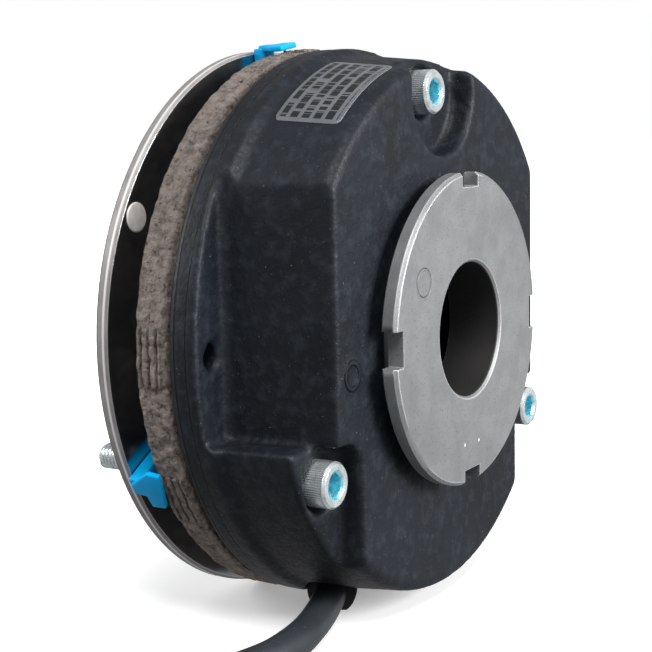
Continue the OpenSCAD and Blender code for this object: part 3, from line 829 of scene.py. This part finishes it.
@dataclass
class Screws:
    """Three socket head screws and the sleeves round them; lengths in millimetres."""

    circle_r: float = 45.0
    head_z: float = 35.0
    head_r: float = 4.2
    head_h: float = 5.0
    socket_af: float = 4.0
    socket_depth: float = 2.5
    socket_r: float = 2.4
    mouth_depth: float = 0.45
    corner: float = 0.45
    knurl_depth: float = 0.22
    thread_r: float = 2.5
    shank_r: float = 2.25
    tail: float = 12.0
    pitch: float = 0.8
    thread_h: float = 0.42
    knurls: int = 60
    lifts: tuple[float, float, float] = (0.0, 0.0, 2.2)
    head_turn: float = 0.37

    def head(self) -> bmesh.types.BMesh:
        """Makes the knurled head with its hexagon socket.

        Returns:
            The head round Z, with its shank.
        """
        top = self.head_z + self.head_h
        r, rim = self.head_r, self.head_r - self.corner
        steps = 2 * self.knurls
        side = [self.head_z + 0.3, self.head_z + 0.7, top - 1.1, top - 0.5]
        foot = [(self.shank_r, 1.0), (self.shank_r, self.head_z), (r - 0.3, self.head_z)]
        face = [(rim, top), (2.75, top), (2.55, top - 0.2)]
        bm = turned(foot + [(r, z) for z in side] + face, steps, close=False)
        low, high = (self.head_z + 0.5) * MM, (top - 0.8) * MM
        deep_z = (top - self.mouth_depth) * MM
        for vert in bm.verts:
            if low < vert.co.z < high and vert.co.xy.length > (r - 0.05) * MM:
                turn = round(math.atan2(vert.co.y, vert.co.x) / (2 * math.pi) * steps)
                if turn % 2:
                    vert.co.xy *= (r - self.knurl_depth) / r
        mouth = [e for e in bm.edges if e.is_boundary and e.verts[0].co.z > self.head_z * MM]
        ring = bmesh.ops.create_circle(bm, segments=6, radius=self.socket_af / math.sqrt(3) * MM,
                                       cap_ends=False)["verts"]
        bmesh.ops.translate(bm, verts=ring, vec=(0, 0, deep_z))
        hexagon = list({e for v in ring for e in v.link_edges})
        bmesh.ops.subdivide_edges(bm, edges=hexagon, cuts=steps // 6 - 1)
        loop = [e for e in bm.edges if e.is_wire]
        bmesh.ops.bridge_loops(bm, edges=mouth + loop)
        lip = [e for e in bm.edges if e.is_boundary and abs(e.verts[0].co.z - deep_z) < 1e-7]
        wall = bmesh.ops.extrude_edge_only(bm, edges=lip)
        deep = [v for v in wall["geom"] if isinstance(v, bmesh.types.BMVert)]
        bmesh.ops.translate(bm, verts=deep, vec=(0, 0, (self.mouth_depth - self.socket_depth) * MM))
        floor = [e for e in wall["geom"] if isinstance(e, bmesh.types.BMEdge) and e.is_boundary]
        bmesh.ops.contextual_create(bm, geom=floor)
        for face in bm.faces:
            middle = face.calc_center_median()
            if middle.z > (self.head_z + 1) * MM and middle.xy.length < self.socket_r * MM:
                face.material_index = 1
        return bm

    def thread(self, lift: float) -> bmesh.types.BMesh:
        """Makes the threaded tail as a true helix on a core.

        Args:
            lift: How far the screw stands out of its counterbore.

        Returns:
            The tail round Z, below the mounting face.
        """
        crest, root = self.thread_r, self.thread_r - self.thread_h
        end = lift - self.tail
        low = end + 0.3
        count = int((-low - self.pitch) / self.pitch)
        steps = 36
        bm = bmesh.new()
        profile = []
        root_end, crest_from, crest_end = 0.1, 0.35, 0.5
        for k in range(count):
            z = low + k * self.pitch
            profile += [(root, z), (root, z + root_end), (crest, z + crest_from), (crest, z + crest_end)]
        profile.append((root, low + count * self.pitch))
        verts = [bm.verts.new((r * MM, 0, z * MM)) for r, z in profile]
        edges = [bm.edges.new(pair) for pair in zip(verts, verts[1:])]
        bmesh.ops.spin(bm, geom=verts + edges, cent=(0, 0, 0), axis=(0, 0, 1),
                       dvec=(0, 0, self.pitch / steps * MM), angle=2 * math.pi, steps=steps,
                       use_merge=False, use_duplicate=False)
        bmesh.ops.remove_doubles(bm, verts=bm.verts, dist=2e-6)
        core = turned([(0, end), (root - 0.35, end), (root + 0.02, end + 0.4), (root + 0.02, -0.2),
                       (self.shank_r, 0), (self.shank_r, 4), (0, 4)], 48, close=False)
        add_mesh(bm, core, Matrix())
        core.free()
        return bm

    def build(self) -> None:
        """Makes the screws and the sleeves."""
        bm = bmesh.new()
        head = self.head()
        for angle, lift in zip(SCREW_ANGLES, self.lifts):
            place = radial(angle, Matrix.Translation((self.circle_r * MM, 0, 0)))
            spin = Matrix.Rotation(math.radians(angle * self.head_turn), 4, "Z")
            add_mesh(bm, head, place @ (Matrix.Translation((0, 0, lift * MM)) @ spin))
            thread = self.thread(lift)
            add_mesh(bm, thread, place)
            thread.free()
        head.free()
        finish_piece("socket_head_screws", bm, SCREW_ZINC, "brake", ("socket_screws",), 30, (SOCKET_ZINC,))
        finish_piece("threaded_sleeves", merged("sleeve_bolts"), DARK_STEEL, "brake", ("sleeve_bolts",))


@dataclass
class Housing:
    """Cast magnet housing with its type label; lengths in millimetres."""

    voxel: float = 0.7
    label_angles: tuple[float, float] = (104.2, 129.8)
    label_y: tuple[float, float] = (25.3, 38.1)
    label_corner: float = 1.2
    label_lift: float = 0.12
    label_t: float = 0.2
    cone_front: tuple[float, float] = (23.6, 52.5)
    cone_back: tuple[float, float] = (41.8, 50.6)

    def casting(self) -> None:
        """Makes the casting with softly rounded edges from the CAD housing."""
        bm = merged("magnet_housing")
        bmesh.ops.triangulate(bm, faces=bm.faces)
        mesh = bpy.data.meshes.new("casting_raw")
        bm.to_mesh(mesh)
        bm.free()
        raw = bpy.data.objects.new("casting_raw", mesh)
        bpy.context.scene.collection.objects.link(raw)
        grid = raw.modifiers.new("grid", "REMESH")
        grid.mode = "VOXEL"
        grid.voxel_size = self.voxel * MM
        ease = raw.modifiers.new("ease", "SMOOTH")
        ease.factor = 0.5
        ease.iterations = 2
        ready = bpy.data.meshes.new_from_object(raw.evaluated_get(bpy.context.evaluated_depsgraph_get()))
        bpy.data.objects.remove(raw)
        soft = bmesh.new()
        soft.from_mesh(ready)
        bpy.data.meshes.remove(ready)
        finish_piece("cast_magnet_housing", soft, BLACK_CASTING, "brake", ("magnet_housing",), 80)

    def label(self) -> None:
        """Makes the thin label with round corners, wrapped on the cone."""
        rows, columns = 24, 32
        bm = bmesh.new()
        bmesh.ops.create_grid(bm, x_segments=columns, y_segments=rows, size=1.0)
        a0, a1 = (math.radians(a) for a in self.label_angles)
        y0, y1 = self.label_y
        half_h, half_w = (y1 - y0) / 2, (a1 - a0) / 2 * LABEL_R
        for vert in bm.verts:
            u, v = vert.co.x, vert.co.y
            t = v * half_h
            over = max(0.0, abs(t) - (half_h - self.label_corner))
            width = half_w - self.label_corner + math.sqrt(max(self.label_corner ** 2 - over ** 2, 0))
            depth = (y0 + y1) / 2 + t
            share = (depth - self.cone_front[0]) / (self.cone_back[0] - self.cone_front[0])
            r = self.cone_front[1] + (self.cone_back[1] - self.cone_front[1]) * share + self.label_lift
            angle = (a0 + a1) / 2 + u * width / LABEL_R
            vert.co = (r * math.cos(angle) * MM, -depth * MM, r * math.sin(angle) * MM)
        bmesh.ops.recalc_face_normals(bm, faces=bm.faces)
        bmesh.ops.solidify(bm, geom=bm.faces, thickness=self.label_t * MM)
        finish_piece("foil_label", bm, LABEL_FOIL, "brake", ("type_label",))


@dataclass
class Adjuster:
    """Thrust springs, their pins and the ring that sets them; lengths in millimetres."""

    circle_r: float = 21.0
    spring_r: float = 2.5
    wire_r: float = 0.4
    front: float = 14.8
    back: float = 28.0
    turns: float = 5.0
    steps_per_turn: int = 20
    count: int = 8
    release: float = 0.8

    def coil(self, low: float, high: float) -> bmesh.types.BMesh:
        """Winds half of each spring.

        Args:
            low: Height where the half starts.
            high: Height where it ends.

        Returns:
            All eight halves, laid down.
        """
        steps = int(self.turns / 2 * self.steps_per_turn)
        rise = (high - low - 2 * self.wire_r) / steps
        one = bmesh.new()
        ring = bmesh.ops.create_circle(one, segments=8, radius=self.wire_r * MM, cap_ends=True)["verts"]
        bmesh.ops.rotate(one, verts=ring, cent=(0, 0, 0), matrix=Matrix.Rotation(math.pi / 2, 3, "X"))
        r, z = self.spring_r - self.wire_r, low + self.wire_r
        bmesh.ops.translate(one, verts=ring, vec=(r * MM, 0, z * MM))
        bmesh.ops.spin(one, geom=one.verts[:] + one.edges[:] + one.faces[:], cent=(0, 0, 0), axis=(0, 0, 1),
                       dvec=(0, 0, rise * MM), angle=math.pi * self.turns, steps=steps, use_merge=False,
                       use_duplicate=False)
        bm = bmesh.new()
        for k in range(self.count):
            place = Matrix.Translation((self.circle_r * MM, 0, 0))
            add_mesh(bm, one, radial(360 * (k + 0.5) / self.count, place))
        one.free()
        return bm

    def build(self) -> None:
        """Makes the springs in two halves, the pins and the ring."""
        middle = (self.front + self.back) / 2
        near = finish_piece("spring_ends_at_armature", self.coil(self.front, middle), SPRING_STEEL, "brake",
                            ("thrust_springs",))
        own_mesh(near)
        far = finish_piece("spring_ends_at_pins", self.coil(middle, self.back), SPRING_STEEL, None,
                           ("thrust_springs",))
        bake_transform(far)
        finish_piece("steel_thrust_pins", merged("thrust_pins"), PIN_STEEL, "pins", ("thrust_pins",))
        finish_piece("notched_adjuster_ring", merged("adjuster_ring"), SINTERED_STEEL, "ring",
                     ("adjuster_ring",))


@dataclass
class TransportClip:
    """One blue clip: a hook along the sleeve's side and a winged plate outside; lengths in millimetres."""

    name: str
    node: str
    body: str
    angle: float
    flip: bool = False
    turn: float = 0.0
    out: float = 0.0
    circle_r: float = 45.0
    inner_r: float = 54.3
    plate_t: float = 1.1
    arm_w: float = 3.2
    arm_t: float = 2.8
    arm_z: float = 2.75
    slot_r: float = 3.6
    leg: float = 3.0
    leg_t: float = 1.4
    plate_round: float = 0.3
    arm_round: float = 0.25
    wing: tuple[tuple[float, float], ...] = ((-4.0, 3.3), (-7.4, 8.2), (-7.0, 10.8), (0.9, 9.2), (0.9, 6.2),
                                             (-1.6, 5.9), (-2.0, 3.3))

    def outline(self, points: Sequence[tuple[float, float, float]], way: Vector,
                rounding: float) -> bmesh.types.BMesh:
        """Extrudes a flat outline and rounds its edges.

        Args:
            points: The outline's corners in millimetres.
            way: Direction and length of the extrusion in millimetres.
            rounding: Width of the rounded edges in millimetres.

        Returns:
            The closed shape.
        """
        bm = bmesh.new()
        face = bm.faces.new([bm.verts.new(Vector(p) * MM) for p in points])
        raised = bmesh.ops.extrude_face_region(bm, geom=[face])["geom"]
        verts = [g for g in raised if isinstance(g, bmesh.types.BMVert)]
        bmesh.ops.translate(bm, verts=verts, vec=way * MM)
        bmesh.ops.recalc_face_normals(bm, faces=bm.faces)
        soften(bm, rounding, 25)
        return bm

    def build(self) -> None:
        """Makes the clip."""
        corners = [(self.inner_r, y, z) for y, z in self.wing]
        plate = self.outline(corners, Vector((self.plate_t, 0, 0)), self.plate_round)
        low, high = -self.slot_r - self.leg_t, -self.slot_r - self.leg_t + self.arm_w
        tip, end = self.circle_r - self.leg, self.inner_r + self.plate_t / 2
        stop = math.degrees(math.asin(high / self.slot_r))
        angles = [math.radians(-90 + (stop + 90) * k / 5) for k in range(6)]
        arc = [(self.circle_r + self.slot_r * math.cos(a), self.slot_r * math.sin(a)) for a in angles]
        shape = [(tip, low), (end, low), (end, high)] + arc[::-1] + [(tip, -self.slot_r)]
        corners = [(x, y, self.arm_z) for x, y in shape]
        arm = self.outline(corners, Vector((0, 0, self.arm_t)), self.arm_round)
        sleeve = Matrix.Translation(((self.circle_r + self.out) * MM, 0, 0))
        hang = sleeve @ Matrix.Rotation(math.radians(self.turn), 4, "Z")
        mirror = Matrix.Diagonal((1, -1 if self.flip else 1, 1, 1))
        place = radial(self.angle, hang @ mirror @ Matrix.Translation((-self.circle_r * MM, 0, 0)))
        bm = bmesh.new()
        for part in (plate, arm):
            add_mesh(bm, part, place)
            part.free()
        finish_piece(self.name, bm, BLUE_PLASTIC, self.body, (self.node,))


@dataclass
class FlangePlate:
    """Flange plate whose sheared edge has its own finish; lengths in millimetres."""

    edge_r: float = 53.6

    def build(self) -> None:
        """Makes the plate."""
        bm = merged("flange_plate")
        for face in bm.faces:
            middle = face.calc_center_median()
            if Vector((middle.x, middle.z)).length > self.edge_r * MM:
                face.material_index = 1
        finish_piece("steel_flange_plate", bm, FLANGE_STEEL, "brake", ("flange_plate",),
                     extra=(FLANGE_EDGE,))


@dataclass
class ArmaturePlate:
    """Armature plate whose outer edge is rough from the cut; lengths in millimetres."""

    mesh_size: float = 0.7
    edge_r: float = 52.0
    lump_size: float = 1.6
    lump: float = 0.3
    lump_limit: float = 0.2

    def build(self) -> None:
        """Makes the plate and roughens its edge."""
        bm = merged("armature_plate")
        bmesh.ops.triangulate(bm, faces=bm.faces)
        fade, spacing, octaves = 0.8, 2.1, 3
        for _ in range(5):
            coarse = [e for e in bm.edges if e.calc_length() > self.mesh_size * MM and max(
                Vector((v.co.x, v.co.z)).length for v in e.verts) > self.edge_r * MM]
            if not coarse:
                break
            bmesh.ops.subdivide_edges(bm, edges=coarse, cuts=1)
            bmesh.ops.triangulate(bm, faces=bm.faces)
        for vert in bm.verts:
            outward = Vector((vert.co.x, 0, vert.co.z))
            if outward.length > self.edge_r * MM:
                push = noise.fractal(vert.co / (self.lump_size * MM), fade, spacing, octaves) * self.lump
                vert.co += outward.normalized() * min(push, self.lump_limit) * MM
        finish_piece("rough_armature_plate", bm, ARMATURE_STEEL, "armature", ("armature_plate",), 50)


@dataclass(frozen=True)
class KeptShape:
    """A piece whose shape is the CAD node's own, merged, rounded where asked, and dressed."""

    name: str
    node: str
    body: str
    finish: Finish
    rounding: float = 0.0

    def build(self) -> None:
        """Makes the piece."""
        bm = merged(self.node)
        if self.rounding:
            soften(bm, self.rounding)
        finish_piece(self.name, bm, self.finish, self.body, (self.node,))


KEPT = (
    KeptShape("zinc_rivets", "flange_rivets", "brake", RIVET_ZINC, 0.25),
    KeptShape("nylon_coil_bobbin", "coil_bobbin", "brake", BLACK_NYLON),
    KeptShape("copper_coil_winding", "coil_winding", "brake", COPPER_WIRE),
    KeptShape("resin_coil_potting", "coil_potting", "brake", POTTING_RESIN),
    KeptShape("aluminium_rotor_carrier", "rotor_carrier", "rotor", CAST_ALUMINIUM),
    KeptShape("friction_ring_at_flange", "friction_lining_flange", "rotor", FRICTION),
    KeptShape("friction_ring_at_armature", "friction_lining_armature", "rotor", FRICTION),
    KeptShape("splined_hub", "hub", "hub", HUB_STEEL),
)


def main() -> None:
    """Builds the studio, the lead and every sub-assembly in order."""
    logging.basicConfig(level=logging.INFO, format="%(name)s: %(message)s")
    studio = Studio()
    studio.place_camera()
    Lead().build()
    studio.lay_floor()
    studio.light()
    Screws().build()
    housing = Housing()
    housing.casting()
    housing.label()
    Adjuster().build()
    FlangePlate().build()
    ArmaturePlate().build()
    TransportClip("blue_clip_top", "transport_clip_top", "clip_top", 90.0, True, 8.0, 0.3).build()
    TransportClip("blue_clip_left", "transport_clip_left", "clip_left", 210.0).build()
    TransportClip("blue_clip_right", "transport_clip_right", "clip_right", 330.0).build()
    for shape in KEPT:
        shape.build()


if __name__ == "__main__":
    main()
